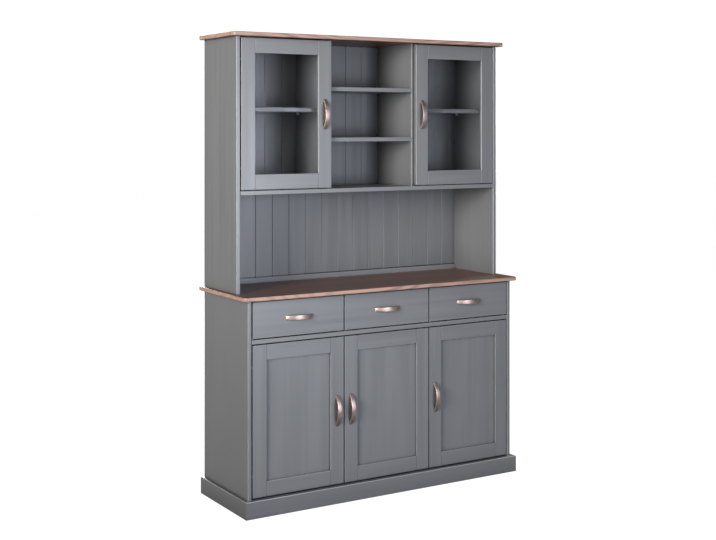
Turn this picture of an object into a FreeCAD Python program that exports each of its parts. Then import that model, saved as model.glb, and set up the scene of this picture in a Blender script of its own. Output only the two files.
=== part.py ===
import FreeCAD, Part
import math
import os

from FreeCAD import Vector

os.makedirs("parts", exist_ok=True)

# The cabinet as a whole. X runs to the right, Y to the back, Z up from the floor,
# and the origin is under the middle of everything that the cabinet takes up.
cabinet_height = 2000.0
carcass_width = 1360.0
base_depth = 427.0
hutch_depth = 322.0
worktop_height = 905.0

# Board stock and the rounding of its visible edges
board = 18.0
front_board = 18.0
edge_rounding = 2.0
side_edge_rounding = 4.0

# Worktop and cornice, the two stained boards with rounded corners
worktop_board = 18.0
cornice_board_thickness = 18.0
worktop_side_overhang = 25.0
worktop_front_overhang = 23.0
cornice_side_overhang = 25.0
cornice_front_overhang = 30.0
top_corner_radius = 14.0
top_edge_rounding = 5.0

# Plinth, put on around the foot of the side panels
plinth_height = 72.0
plinth_front_board = 22.0
plinth_end_board = 18.0
plinth_rounding = 4.0

# Backs and the rebate that holds them in the side panels
base_back_sheet = 4.0
boarding = 10.0
rebate_reach = 9.0
boarding_pitch = 85.0
boarding_groove_width = 5.0
boarding_groove_depth = 3.0
lower_first_strip = 65.5
upper_first_strip = 26.0
rear_rail_height = 22.0

# Openings that doors and drawers fill, and the gaps left round them
reveal = 4.0
drawer_opening_height = 160.0
door_stop_gap = 4.0
hutch_floor_height = 1334.0
bay_reveal = 11.0

# Shelves and the pins under them
base_shelf_rise = 310.0
base_shelf_setback = 40.0
glass_shelf_above_middle = 10.0
glass_shelf_setback = 23.0
shelf_end_play = 1.0
pin_radius = 2.5
pin_hole_depth = 8.0
pin_head_radius = 6.0
pin_head_reach = 9.0
pin_head_flat = 0.6
pin_inset = 25.0

# Doors
stile_width = 65.0
rail_width = 64.0
panel_sheet = 4.0
panel_recess = 11.0
panel_tongue = 9.0
glass_sheet = 3.0
glass_recess = 11.0
glass_rebate = 9.0
bead_width = 8.0

# Concealed hinges, each with a cup in the door and an arm on the cabinet
hinge_end_distance = 90.0
hinge_pivot_inset = 8.0
hinge_pivot_depth = 8.0
cup_centre_inset = 22.0
cup_radius = 17.5
cup_wall = 0.8
cup_depth = 13.5
cup_flange = 1.0
cup_flange_reach = 16.0
cup_flange_start = 8.0
cup_flange_half_height = 29.0
hinge_screw_spacing = 48.0
hinge_screw_inset = 6.0
hinge_screw_head_radius = 3.6
hinge_screw_head_height = 1.4
hinge_screw_radius = 1.6
hinge_screw_length = 11.0
hinge_pin_radius = 1.1
hinge_pin_play = 0.05
hinge_eye_radius = 2.4
arm_width = 12.0
arm_sheet = 3.0
arm_stand = 5.0
arm_bend_start = 9.0
arm_bend_end = 23.0
arm_length = 62.0
arm_block_start = 30.0
arm_plate = 2.0
arm_plate_half_height = 21.0
notch_play = 0.6
notch_floor_depth = 5.3

# Drawers
drawer_side_board = 12.0
drawer_side_height = 140.0
drawer_rear_gap = 33.0
drawer_play = 3.0
drawer_bottom_sheet = 4.0
drawer_bottom_rise = 10.0
drawer_groove_depth = 6.0

# Bow handles, broad in the middle and tapering to their two feet
handle_length = 133.0
handle_projection = 27.0
handle_foot = 15.0
handle_middle_thickness = 5.0
handle_middle_width = 20.0
handle_end_width = 17.0
handle_edge_rounding = 2.0

# Length by which a cutting solid runs past what it cuts, and how near an edge
# must lie to a plane to be picked there
overrun = 5.0
pick_closeness = 0.03

# Planes and heights worked out from the sizes above
overall_depth = base_depth + handle_projection
back = overall_depth / 2
base_front = back - base_depth
hutch_front = back - hutch_depth
fitting_setback = front_board + door_stop_gap
base_inner_front = base_front + fitting_setback
hutch_inner_front = hutch_front + fitting_setback
base_inner_back = back - base_back_sheet
hutch_inner_back = back - boarding

half_width = carcass_width / 2
half_inside = half_width - board
inside_width = carcass_width - 2 * board
bay_width = inside_width / 3
bay_line = bay_width / 2

worktop_underside = worktop_height - worktop_board
deck_top = worktop_underside - drawer_opening_height
deck_underside = deck_top - board
hutch_ceiling = cabinet_height - cornice_board_thickness
hutch_floor_underside = hutch_floor_height - board

# The three bays of the base, from the left: edges of their doors and drawers
bay_names = ("left", "centre", "right")
bay_edges = [
    (-half_inside, -bay_line),
    (-bay_line, bay_line),
    (bay_line, half_inside),
]


def block(x0, x1, y0, y1, z0, z1):
    """A straight-sided solid between two corners."""
    return Part.makeBox(x1 - x0, y1 - y0, z1 - z0, Vector(x0, y0, z0))


def edges_in_plane(solid, axis, place):
    """The solid's edges that lie in the plane where the axis has this value."""
    near = pick_closeness
    found = []
    for edge in solid.Edges:
        span = edge.BoundBox
        low = getattr(span, axis + "Min")
        high = getattr(span, axis + "Max")
        if abs(low - place) < near and abs(high - place) < near:
            found.append(edge)
    return found


def upright_edges(edges):
    """Those of the edges that run straight up."""
    return [edge for edge in edges if edge.BoundBox.ZLength > edge.BoundBox.DiagonalLength / 2]


def level_edges(edges):
    """Those of the edges that run level."""
    return [edge for edge in edges if edge.BoundBox.ZLength < edge.BoundBox.DiagonalLength / 2]


def eased_front(solid, front, radius):
    """The solid with all its edges in the front plane rounded."""
    return solid.makeFillet(radius, edges_in_plane(solid, "Y", front))


def mirrored(solid):
    """The same solid on the other side of the cabinet's middle."""
    return solid.mirror(Vector(0, 0, 0), Vector(1, 0, 0))


def upright_cylinder(x, y, z0, z1, radius):
    return Part.makeCylinder(radius, z1 - z0, Vector(x, y, z0), Vector(0, 0, 1))


def plan_prism(points, z0, z1):
    """A solid with this outline in plan, from one height to another."""
    corners = [Vector(x, y, z0) for x, y in points]
    outline = Part.makePolygon(corners + corners[:1])
    return Part.Face(outline).extrude(Vector(0, 0, z1 - z0))


def save(name, *solids):
    """Write one node, as one solid or as a group of separate solids."""
    shape = solids[0] if len(solids) == 1 else Part.makeCompound(list(solids))
    shape.exportStep("parts/" + name + ".step")


# Side panels stand on the floor. Their rear inner corners are rebated for the
# backs, and their front uprights are rounded.
def side_panel(front, z0, z1, back_thickness, pin_holes):
    panel = block(-half_width, -half_inside, front, back, z0, z1)
    panel = panel.makeFillet(side_edge_rounding, upright_edges(edges_in_plane(panel, "Y", front)))
    rebate = block(
        -half_inside - rebate_reach,
        -half_inside + overrun,
        back - back_thickness,
        back + overrun,
        z0 - overrun,
        z1 + overrun,
    )
    panel = panel.cut(rebate)
    for hole in pin_holes:
        panel = panel.cut(hole)
    return panel


# Shelf pins: a thin peg in the upright's blind hole, and a round head with a small flat on top
def pin_places(shelf_front, shelf_back):
    return (shelf_front + pin_inset, shelf_back - pin_inset)


def pin_height(shelf_underside):
    return shelf_underside + pin_head_flat - pin_head_radius


def pin_hole(face, towards, y, shelf_underside):
    """A blind hole in an upright whose face is at x = face; the shelf lies towards +X or -X."""
    start = Vector(face + towards * overrun, y, pin_height(shelf_underside))
    return Part.makeCylinder(pin_radius, pin_hole_depth + overrun, start, Vector(-towards, 0, 0))


def shelf_pin(face, towards, y, shelf_underside):
    height = pin_height(shelf_underside)
    across = Vector(towards, 0, 0)
    peg_start = Vector(face - towards * pin_hole_depth, y, height)
    peg = Part.makeCylinder(pin_radius, pin_hole_depth + pin_head_reach, peg_start, across)
    head = Part.makeCylinder(pin_head_radius, pin_head_reach, Vector(face, y, height), across)
    shelf_place = block(
        face - pin_head_reach,
        face + pin_head_reach,
        y - pin_head_radius,
        y + pin_head_radius,
        shelf_underside,
        shelf_underside + pin_head_radius,
    )
    return peg.fuse(head).cut(shelf_place).removeSplitter()


# Shelf places: front, back, underside, and the two faces that carry each shelf
partition_left_face = bay_line - board / 2
partition_right_face = bay_line + board / 2
base_shelf_underside = plinth_height + base_shelf_rise
base_shelf_front = base_inner_front + base_shelf_setback
glass_cupboard_middle = (hutch_floor_height + hutch_ceiling) / 2
glass_shelf_underside = glass_cupboard_middle + glass_shelf_above_middle
glass_shelf_front = hutch_inner_front + glass_shelf_setback

base_pin_ys = pin_places(base_shelf_front, base_inner_back)
glass_pin_ys = pin_places(glass_shelf_front, hutch_inner_back)

pins = []
base_side_holes = []
hutch_side_holes = []
for y in base_pin_ys:
    base_side_holes.append(pin_hole(-half_inside, 1, y, base_shelf_underside))
    pins.append(shelf_pin(-half_inside, 1, y, base_shelf_underside))
    pins.append(shelf_pin(half_inside, -1, y, base_shelf_underside))
    pins.append(shelf_pin(partition_left_face, -1, y, base_shelf_underside))
    pins.append(shelf_pin(partition_right_face, 1, y, base_shelf_underside))
for y in glass_pin_ys:
    hutch_side_holes.append(pin_hole(-half_inside, 1, y, glass_shelf_underside))
    pins.append(shelf_pin(-half_inside, 1, y, glass_shelf_underside))
    pins.append(shelf_pin(half_inside, -1, y, glass_shelf_underside))
    pins.append(shelf_pin(-partition_right_face, -1, y, glass_shelf_underside))
    pins.append(shelf_pin(partition_right_face, 1, y, glass_shelf_underside))
save("shelf_pins", *pins)

base_side = side_panel(base_front, 0, worktop_underside, base_back_sheet, base_side_holes)
hutch_side = side_panel(hutch_front, worktop_height, hutch_ceiling, boarding, hutch_side_holes)
save("base_side_left", base_side)
save("base_side_right", mirrored(base_side))
save("hutch_side_left", hutch_side)
save("hutch_side_right", mirrored(hutch_side))


# Level boards between the side panels, with the front edge rounded
def level_board(x0, x1, y0, y1, underside):
    plank = block(x0, x1, y0, y1, underside, underside + board)
    return plank.makeFillet(edge_rounding, level_edges(edges_in_plane(plank, "Y", y0)))


def full_width_board(front, rear, underside):
    return level_board(-half_inside, half_inside, front, rear, underside)


bottom_underside = plinth_height - board
save("base_bottom", full_width_board(base_front, base_inner_back, bottom_underside))
save("base_deck", full_width_board(base_front, base_inner_back, deck_underside))
save("hutch_bottom", full_width_board(hutch_front, hutch_inner_back, hutch_floor_underside))


# Upright partitions stand behind the doors and drawer fronts, which close over their edges
def upright_board(centre, y0, y1, z0, z1):
    plank = block(centre - board / 2, centre + board / 2, y0, y1, z0, z1)
    return plank.makeFillet(edge_rounding, upright_edges(edges_in_plane(plank, "Y", y0)))


base_partition = upright_board(
    bay_line, base_inner_front, base_inner_back, plinth_height, deck_underside
)
hutch_partition = upright_board(
    bay_line, hutch_inner_front, hutch_inner_back, hutch_floor_height, hutch_ceiling
)
for y in base_pin_ys:
    base_partition = base_partition.cut(pin_hole(partition_left_face, -1, y, base_shelf_underside))
    base_partition = base_partition.cut(pin_hole(partition_right_face, 1, y, base_shelf_underside))
for y in glass_pin_ys:
    hutch_partition = hutch_partition.cut(pin_hole(partition_right_face, 1, y, glass_shelf_underside))
save("base_partition", base_partition)
save("hutch_partition_right", hutch_partition)
save("hutch_partition_left", mirrored(hutch_partition))

drawer_divider = upright_board(bay_line, base_inner_front, base_inner_back, deck_top, worktop_underside)
save("drawer_divider_right", drawer_divider)
save("drawer_divider_left", mirrored(drawer_divider))

# The single sheet behind the base lies in the side panels' rebates
rebate_line = half_inside + rebate_reach
base_sheet = block(
    -rebate_line, rebate_line, base_inner_back, back, bottom_underside, worktop_underside
)
save("base_back", base_sheet)


# The hutch back is tongued boarding in two parts, which meet behind the hutch floor
def boarded_back(z0, z1, first_strip):
    sheet = block(-rebate_line, rebate_line, hutch_inner_back, back, z0, z1)
    joint = first_strip - rebate_line
    while joint < rebate_line:
        half_groove = boarding_groove_width / 2
        groove = plan_prism(
            [
                (joint - half_groove, hutch_inner_back),
                (joint + half_groove, hutch_inner_back),
                (joint, hutch_inner_back + boarding_groove_depth),
            ],
            z0 - overrun,
            z1 + overrun,
        )
        sheet = sheet.cut(groove)
        joint = joint + boarding_pitch
    return sheet


boarding_joint = hutch_floor_height - board / 2
save("hutch_back_lower", boarded_back(worktop_height + rear_rail_height, boarding_joint, lower_first_strip))
save("hutch_back_upper", boarded_back(boarding_joint, hutch_ceiling, upper_first_strip))

# The rear rail closes the back below the boarding; it is full board thickness,
# so its end halves are let into the rebates and its front half stands between the sides.
rail_front = block(
    -half_inside,
    half_inside,
    back - board,
    hutch_inner_back,
    worktop_height,
    worktop_height + rear_rail_height,
)
rail_rear = block(
    -rebate_line,
    rebate_line,
    hutch_inner_back,
    back,
    worktop_height,
    worktop_height + rear_rail_height,
)
save("hutch_rear_rail", rail_front.fuse(rail_rear).removeSplitter())

# Plinth: the front board covers the ends of the two side boards
plinth_half = half_width + plinth_end_board
plinth_face = base_front - plinth_front_board
plinth_front = block(-plinth_half, plinth_half, plinth_face, base_front, 0, plinth_height)
plinth_top_edges = [
    edge
    for edge in edges_in_plane(plinth_front, "Z", plinth_height)
    if edge.BoundBox.YMax < base_front or edge.BoundBox.YLength > plinth_front_board / 2
]
save("plinth_front", plinth_front.makeFillet(plinth_rounding, plinth_top_edges))
plinth_end = block(-plinth_half, -half_width, base_front, back, 0, plinth_height)
plinth_end_edge = [
    edge for edge in edges_in_plane(plinth_end, "Z", plinth_height) if edge.BoundBox.XMax < -half_width
]
plinth_end = plinth_end.makeFillet(plinth_rounding, plinth_end_edge)
save("plinth_ends", plinth_end, mirrored(plinth_end))


# The worktop and the cornice have rounded front corners and rounded edges on three sides
def stained_board(half_span, front, z0, thickness):
    plank = block(-half_span, half_span, front, back, z0, z0 + thickness)
    plank = plank.makeFillet(top_corner_radius, upright_edges(edges_in_plane(plank, "Y", front)))
    round_edges = []
    for height in (z0, z0 + thickness):
        for edge in edges_in_plane(plank, "Z", height):
            if edge.BoundBox.YMin < back - overrun:
                round_edges.append(edge)
    return plank.makeFillet(top_edge_rounding, round_edges)


worktop = stained_board(
    half_width + worktop_side_overhang,
    base_front - worktop_front_overhang,
    worktop_underside,
    worktop_board,
)
save("worktop", worktop)
cornice = stained_board(
    half_width + cornice_side_overhang,
    hutch_front - cornice_front_overhang,
    hutch_ceiling,
    cornice_board_thickness,
)
save("cornice_board", cornice)

# Loose shelves on pins, and the two fixed shelves that part the open bay in three
save(
    "base_shelf_double",
    level_board(
        -half_inside + shelf_end_play,
        partition_left_face - shelf_end_play,
        base_shelf_front,
        base_inner_back,
        base_shelf_underside,
    ),
)
save(
    "base_shelf_single",
    level_board(
        partition_right_face + shelf_end_play,
        half_inside - shelf_end_play,
        base_shelf_front,
        base_inner_back,
        base_shelf_underside,
    ),
)
glass_shelf = level_board(
    partition_right_face + shelf_end_play,
    half_inside - shelf_end_play,
    glass_shelf_front,
    hutch_inner_back,
    glass_shelf_underside,
)
save("glass_cupboard_shelves", mirrored(glass_shelf), glass_shelf)

open_bay_height = hutch_ceiling - hutch_floor_height
open_space = (open_bay_height - 2 * board) / 3
bay_shelves = []
for count in (1, 2):
    underside = hutch_floor_height + count * open_space + (count - 1) * board
    bay_shelves.append(
        level_board(
            -partition_left_face, partition_left_face, hutch_inner_front, hutch_inner_back, underside
        )
    )
save("bay_shelves", *bay_shelves)


# Bow handle, made standing with its feet on the plane y = 0 and bowing towards -Y
def arc_through(start, middle, end):
    return Part.Arc(start, middle, end).toShape()


def straight(start, end):
    return Part.LineSegment(start, end).toShape()


def bow_handle():
    half = handle_length / 2
    half_inner = half - handle_foot
    outer_end_low = Vector(0, 0, -half)
    outer_end_high = Vector(0, 0, half)
    inner_end_low = Vector(0, 0, -half_inner)
    inner_end_high = Vector(0, 0, half_inner)
    outer_crown = Vector(0, -handle_projection, 0)
    inner_crown = Vector(0, handle_middle_thickness - handle_projection, 0)
    crescent = Part.Face(
        Part.Wire(
            [
                arc_through(outer_end_low, outer_crown, outer_end_high),
                straight(outer_end_high, inner_end_high),
                arc_through(inner_end_high, inner_crown, inner_end_low),
                straight(inner_end_low, outer_end_low),
            ]
        )
    )
    crescent.translate(Vector(-handle_middle_width / 2, 0, 0))
    bow = crescent.extrude(Vector(handle_middle_width, 0, 0))
    wide = handle_middle_width / 2
    narrow = handle_end_width / 2
    lens = Part.Face(
        Part.Wire(
            [
                arc_through(Vector(-narrow, 0, -half), Vector(-wide, 0, 0), Vector(-narrow, 0, half)),
                straight(Vector(-narrow, 0, half), Vector(narrow, 0, half)),
                arc_through(Vector(narrow, 0, half), Vector(wide, 0, 0), Vector(narrow, 0, -half)),
                straight(Vector(narrow, 0, -half), Vector(-narrow, 0, -half)),
            ]
        )
    )
    lens.translate(Vector(0, overrun, 0))
    bow = bow.common(lens.extrude(Vector(0, -handle_projection - 2 * overrun, 0)))
    long_edges = [edge for edge in bow.Edges if edge.BoundBox.ZLength > handle_length / 2]
    return bow.makeFillet(handle_edge_rounding, long_edges)


handle = bow_handle()


def placed_handle(x, front, z, level):
    copy = handle.copy()
    if level:
        copy.rotate(Vector(0, 0, 0), Vector(0, 1, 0), 90)
    copy.translate(Vector(x, front, z))
    return copy


# Hinge pieces. They are made for a door whose hinge edge is its left one, with that
# edge at x = 0, its front at y = 0 and the hinge's middle at z = 0, then put in place.
notch_half = arm_width / 2 + notch_play


def cup_bore():
    return Part.makeCylinder(
        cup_radius,
        cup_depth + overrun,
        Vector(cup_centre_inset, front_board + overrun, 0),
        Vector(0, -1, 0),
    )


def arm_notch():
    """The room that the arm needs in the door's edge as the door swings."""
    return block(
        -overrun,
        hinge_pivot_inset,
        notch_floor_depth,
        front_board + overrun,
        -notch_half,
        notch_half,
    )


def screw_places():
    x = cup_centre_inset + hinge_screw_inset
    return [Vector(x, front_board, side * hinge_screw_spacing / 2) for side in (-1, 1)]


def screw_bore(place):
    return Part.makeCylinder(hinge_screw_radius, hinge_screw_length, place, Vector(0, -1, 0))


def hinge_cutters():
    return [cup_bore(), arm_notch()] + [screw_bore(place) for place in screw_places()]


def hinge_cup():
    """Cup, flange and pin, as one pressed and riveted piece."""
    shell = Part.makeCylinder(
        cup_radius, cup_depth, Vector(cup_centre_inset, front_board, 0), Vector(0, -1, 0)
    )
    flange = block(
        cup_centre_inset - cup_flange_start,
        cup_centre_inset + cup_flange_reach,
        front_board,
        front_board + cup_flange,
        -cup_flange_half_height,
        cup_flange_half_height,
    )
    flange_corners = [edge for edge in flange.Edges if edge.BoundBox.YLength > cup_flange / 2]
    flange = flange.makeFillet(cup_flange_start / 2, flange_corners)
    hollow = Part.makeCylinder(
        cup_radius - cup_wall,
        cup_depth - cup_wall + cup_flange + overrun,
        Vector(cup_centre_inset, front_board + cup_flange + overrun, 0),
        Vector(0, -1, 0),
    )
    cup = shell.fuse(flange).cut(hollow).cut(arm_notch())
    for place in screw_places():
        shaft_end = place + Vector(0, cup_flange + overrun, 0)
        cup = cup.cut(
            Part.makeCylinder(hinge_screw_radius, cup_flange + 2 * overrun, shaft_end, Vector(0, -1, 0))
        )
    pin_reach = math.sqrt((cup_radius - cup_wall / 2) ** 2 - (cup_centre_inset - hinge_pivot_inset) ** 2)
    pin = upright_cylinder(hinge_pivot_inset, hinge_pivot_depth, -pin_reach, pin_reach, hinge_pin_radius)
    return cup.fuse(pin).removeSplitter()


def hinge_screw(place):
    """A screw through the cup's flange, with a low rounded head."""
    seat = place + Vector(0, cup_flange, 0)
    shank_length = hinge_screw_length + cup_flange
    shank = Part.makeCylinder(hinge_screw_radius, shank_length, seat, Vector(0, -1, 0))
    head = Part.makeCylinder(
        hinge_screw_head_radius, hinge_screw_head_height, seat, Vector(0, 1, 0)
    )
    rim = edges_in_plane(head, "Y", front_board + cup_flange + hinge_screw_head_height)
    head = head.makeFillet(hinge_screw_head_height / 2, rim)
    return shank.fuse(head).removeSplitter()


def hinge_arm(panel_face):
    """Arm and mounting plate for a cabinet panel whose face is at x = panel_face."""
    half_sheet = arm_sheet / 2
    bend = panel_face + arm_stand - hinge_pivot_inset
    spine = [(0, 0), (0, arm_bend_start), (bend, arm_bend_end), (bend, arm_length)]
    one_side = [(hinge_pivot_inset + x - half_sheet, hinge_pivot_depth + y) for x, y in spine]
    other_side = [(x + arm_sheet, y) for x, y in reversed(one_side)]
    arm = plan_prism(one_side + other_side, -arm_width / 2, arm_width / 2)
    eye = upright_cylinder(
        hinge_pivot_inset, hinge_pivot_depth, -arm_width / 2, arm_width / 2, hinge_eye_radius
    )
    seat = block(
        panel_face,
        panel_face + arm_stand,
        hinge_pivot_depth + arm_block_start,
        hinge_pivot_depth + arm_length,
        -arm_width / 2,
        arm_width / 2,
    )
    plate = block(
        panel_face,
        panel_face + arm_plate,
        hinge_pivot_depth + arm_block_start,
        hinge_pivot_depth + arm_length,
        -arm_plate_half_height,
        arm_plate_half_height,
    )
    bore = upright_cylinder(
        hinge_pivot_inset, hinge_pivot_depth, -arm_width, arm_width, hinge_pin_radius + hinge_pin_play
    )
    return arm.fuse(eye).fuse(seat).fuse(plate).cut(bore).removeSplitter()


def at_hinge(shape, edge, front, z, hinge_left):
    """Move a hinge piece from its own place to the door's hinge edge."""
    moved = shape.copy() if hinge_left else mirrored(shape)
    moved.translate(Vector(edge, front, z))
    return moved


# Doors: two full-height stiles with two rails between them, made so that every
# front edge is rounded and the joints show as fine V lines
def door_frame(x0, x1, front, z0, z1):
    rear = front + front_board
    stiles = [
        block(x0, x0 + stile_width, front, rear, z0, z1),
        block(x1 - stile_width, x1, front, rear, z0, z1),
    ]
    rails = [
        block(x0 + stile_width, x1 - stile_width, front, rear, z0, z0 + rail_width),
        block(x0 + stile_width, x1 - stile_width, front, rear, z1 - rail_width, z1),
    ]
    return [eased_front(piece, front, edge_rounding) for piece in stiles + rails]


def hinge_heights(z0, z1):
    return (z0 + hinge_end_distance, z1 - hinge_end_distance)


def cut_where_met(piece, cutter):
    return piece.cut(cutter) if piece.BoundBox.intersect(cutter.BoundBox) else piece


def cut_for_hinges(pieces, edge, front, z0, z1, hinge_left):
    cutters = [
        at_hinge(cutter, edge, front, z, hinge_left)
        for z in hinge_heights(z0, z1)
        for cutter in hinge_cutters()
    ]
    for cutter in cutters:
        pieces = [cut_where_met(piece, cutter) for piece in pieces]
    return pieces


hinge_arms = []


def hang_door(name, pieces, x0, x1, front, z0, z1, hinge_left, panel_face):
    """Write a door's frame and hinge cups, and keep its two hinge arms."""
    edge = x0 if hinge_left else x1
    save(name + "_frame", *cut_for_hinges(pieces, edge, front, z0, z1, hinge_left))
    cups = []
    for z in hinge_heights(z0, z1):
        for piece in [hinge_cup()] + [hinge_screw(place) for place in screw_places()]:
            cups.append(at_hinge(piece, edge, front, z, hinge_left))
        hinge_arms.append(at_hinge(hinge_arm(panel_face), edge, front, z, hinge_left))
    save(name + "_hinge_cups", *cups)


base_door_low = plinth_height + reveal
base_door_high = deck_underside - reveal
half_reveal = reveal / 2


def fitted_span(bay):
    """Left and right edges of a door or drawer front in one bay of the base."""
    x0, x1 = bay_edges[bay]
    left = x0 + (reveal if bay == 0 else half_reveal)
    right = x1 - (reveal if bay == 2 else half_reveal)
    return left, right


def base_door(bay, hinge_left):
    name = "door_" + bay_names[bay]
    x0, x1 = fitted_span(bay)
    pieces = door_frame(x0, x1, base_front, base_door_low, base_door_high)
    panel = block(
        x0 + stile_width - panel_tongue,
        x1 - stile_width + panel_tongue,
        base_front + panel_recess,
        base_front + panel_recess + panel_sheet,
        base_door_low + rail_width - panel_tongue,
        base_door_high - rail_width + panel_tongue,
    )
    pieces = [piece.cut(panel) for piece in pieces]
    save(name + "_panel", panel)
    panel_face = board / 2 - half_reveal if bay == 1 else -reveal
    hang_door(name, pieces, x0, x1, base_front, base_door_low, base_door_high, hinge_left, panel_face)
    handle_x = x1 - stile_width / 2 if hinge_left else x0 + stile_width / 2
    handle_z = (base_door_low + base_door_high) / 2
    save(name + "_handle", placed_handle(handle_x, base_front, handle_z, False))


base_door(0, True)
base_door(1, False)
base_door(2, False)

# Glass doors close between side panel and partition, over part of the partition's edge
glass_door_low = hutch_floor_height + reveal
glass_door_high = hutch_ceiling - reveal


def glass_door(name, hinge_left):
    outer = half_inside - reveal
    inner = partition_left_face + bay_reveal
    x0, x1 = (-outer, -inner) if hinge_left else (inner, outer)
    pieces = door_frame(x0, x1, hutch_front, glass_door_low, glass_door_high)
    left = x0 + stile_width - glass_rebate
    right = x1 - stile_width + glass_rebate
    low = glass_door_low + rail_width - glass_rebate
    high = glass_door_high - rail_width + glass_rebate
    glass_front = hutch_front + glass_recess
    glass_rear = glass_front + glass_sheet
    rear = hutch_front + front_board
    rebate = block(left, right, glass_front, rear + overrun, low, high)
    pieces = [piece.cut(rebate) for piece in pieces]
    save(name + "_pane", block(left, right, glass_front, glass_rear, low, high))
    save(
        name + "_beads",
        block(left, left + bead_width, glass_rear, rear, low, high),
        block(right - bead_width, right, glass_rear, rear, low, high),
        block(left + bead_width, right - bead_width, glass_rear, rear, low, low + bead_width),
        block(left + bead_width, right - bead_width, glass_rear, rear, high - bead_width, high),
    )
    hang_door(name, pieces, x0, x1, hutch_front, glass_door_low, glass_door_high, hinge_left, -reveal)
    handle_x = x1 - stile_width / 2 if hinge_left else x0 + stile_width / 2
    handle_z = (glass_door_low + glass_door_high) / 2
    save(name + "_handle", placed_handle(handle_x, hutch_front, handle_z, False))


glass_door("glass_door_left", True)
glass_door("glass_door_right", False)
save("hinge_arms", *hinge_arms)


# Drawers run on the deck between the dividers. The bottom lies in grooves of the
# sides and of the front, and passes under the drawer's back.
def drawer(bay):
    name = "drawer_" + bay_names[bay]
    x0, x1 = fitted_span(bay)
    rear = base_front + front_board
    box_rear = base_inner_back - drawer_rear_gap
    left = bay_edges[bay][0] + (drawer_play if bay == 0 else board / 2 + drawer_play)
    right = bay_edges[bay][1] - (drawer_play if bay == 2 else board / 2 + drawer_play)
    bottom_low = deck_top + drawer_bottom_rise
    bottom_high = bottom_low + drawer_bottom_sheet
    bottom = block(
        left + drawer_side_board - drawer_groove_depth,
        right - drawer_side_board + drawer_groove_depth,
        rear - drawer_groove_depth,
        box_rear,
        bottom_low,
        bottom_high,
    )
    front = block(x0, x1, base_front, rear, deck_top + reveal, worktop_underside - reveal)
    front = eased_front(front, base_front, edge_rounding).cut(bottom)
    side_high = deck_top + drawer_side_height
    side_left = block(left, left + drawer_side_board, rear, box_rear, deck_top, side_high)
    side_right = block(right - drawer_side_board, right, rear, box_rear, deck_top, side_high)
    box_back = block(
        left + drawer_side_board,
        right - drawer_side_board,
        box_rear - drawer_side_board,
        box_rear,
        bottom_high,
        side_high,
    )
    save(name + "_front", front)
    save(name + "_box", side_left.cut(bottom), side_right.cut(bottom), box_back)
    save(name + "_bottom", bottom)
    handle_z = (deck_top + worktop_underside) / 2
    save(name + "_handle", placed_handle((x0 + x1) / 2, base_front, handle_z, True))


for bay in range(len(bay_names)):
    drawer(bay)
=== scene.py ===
import bpy
import math
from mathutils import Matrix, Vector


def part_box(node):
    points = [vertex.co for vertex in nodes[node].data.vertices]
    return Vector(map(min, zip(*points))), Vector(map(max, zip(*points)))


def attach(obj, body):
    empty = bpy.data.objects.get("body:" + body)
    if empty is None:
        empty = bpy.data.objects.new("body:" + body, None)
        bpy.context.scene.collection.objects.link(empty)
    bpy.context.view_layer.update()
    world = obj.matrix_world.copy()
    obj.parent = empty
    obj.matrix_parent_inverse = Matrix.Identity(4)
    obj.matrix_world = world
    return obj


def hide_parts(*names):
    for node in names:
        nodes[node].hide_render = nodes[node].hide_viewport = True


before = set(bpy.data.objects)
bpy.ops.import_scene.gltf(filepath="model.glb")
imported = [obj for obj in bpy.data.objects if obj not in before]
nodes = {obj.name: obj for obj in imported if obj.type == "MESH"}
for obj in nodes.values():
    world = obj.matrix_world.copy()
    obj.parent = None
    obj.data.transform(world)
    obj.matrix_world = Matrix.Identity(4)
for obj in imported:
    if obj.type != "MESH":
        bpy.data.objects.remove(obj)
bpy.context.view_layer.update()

# Side panels of base and hutch: upright softwood boards under satin grey paint, screwed
# to the boards between them. The paint lets the grain show as fine relief, and a painted
# highlight makes it paler over the rounded edges.
SIDE_PANELS = ["base_side_left", "base_side_right", "hutch_side_left", "hutch_side_right"]
UPRIGHT = (0.0, 0.0, 0.0)
NO_SHIFT = (0.0, 0.0, 0.0)
GREY_PAINT = (0.200, 0.203, 0.210, 1.0)
# A paler paint laid on the rounded edges as a painted highlight.
EDGE_HIGHLIGHT_PAINT = (0.420, 0.426, 0.436, 1.0)
DARK_STREAK = (0.950, 0.952, 0.955, 1.0)
PALE_STREAK = (1.035, 1.033, 1.030, 1.0)
PAINT_ROUGHNESS = 0.35
PAINT_SHEEN = 0.72
PAINT_RELIEF = 0.00022
# How much of the painted highlight the edges take, and how much of it is left beside gaps.
EDGE_HIGHLIGHT_SHARE = 0.48
EDGE_SHADING_BY_GAPS = 0.35
FLAT_TO_ROUNDED = (0.99, 0.80)

# Each pattern has its stretch per metre across and along the grain, its detail and its
# roughness. Each span is the part of a pattern's range that shows.
PORES = ((420.0, 420.0, 9.0), 4.0, 0.6)
PORE_SPAN = (0.52, 0.70)
PORE_DARKNESS = 0.45
PORE_ROUGHNESS = 0.12
PORE_HEIGHT = 0.45
FIGURE = ((38.0, 38.0, 1.1), 3.0, 0.55)
FIGURE_SPAN = (0.36, 0.64)
FIGURE_HEIGHT = 0.55
SHEEN_SPAN = (0.3, 0.7)
SHEEN_SHIFT = (-0.05, 0.06)
BRUSH_CLOUDS = ((5.0, 5.0, 3.0), 2.0, 0.5)
CLOUD_SPAN = (0.35, 0.65)
CLOUD_PALENESS = 0.35

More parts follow.
